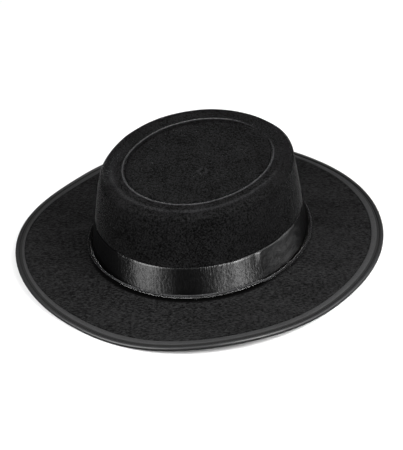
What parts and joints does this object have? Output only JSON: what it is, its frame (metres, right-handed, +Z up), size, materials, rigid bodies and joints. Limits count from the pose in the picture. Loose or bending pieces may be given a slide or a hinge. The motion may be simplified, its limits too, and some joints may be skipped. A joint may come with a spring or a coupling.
{
  "type": "gaucho hat",
  "caption": "Low flat-topped felt hat with a wide, almost level oval brim, a ribbon band and a bound edge.",
  "frame": {"origin": "centre of the brim's outline, on the surface that the hat rests on", "axes": "+Z up through the crown, +Y towards the back of the hat, +X towards the wearer's left"},
  "size_m": [0.314, 0.3406, 0.0912],
  "materials": {
    "crown_felt": "brushed wool-like felt",
    "brim_felt": "pressed felt with a fine streaky nap",
    "satin_ribbon": "glossy satin",
    "binding_tape": "smooth folded tape over a cord"
  },
  "bodies": {
    "root": {"crown": "crown_felt", "brim": "brim_felt", "band": "satin_ribbon", "brim_binding": "binding_tape"}
  },
  "joints": []
}
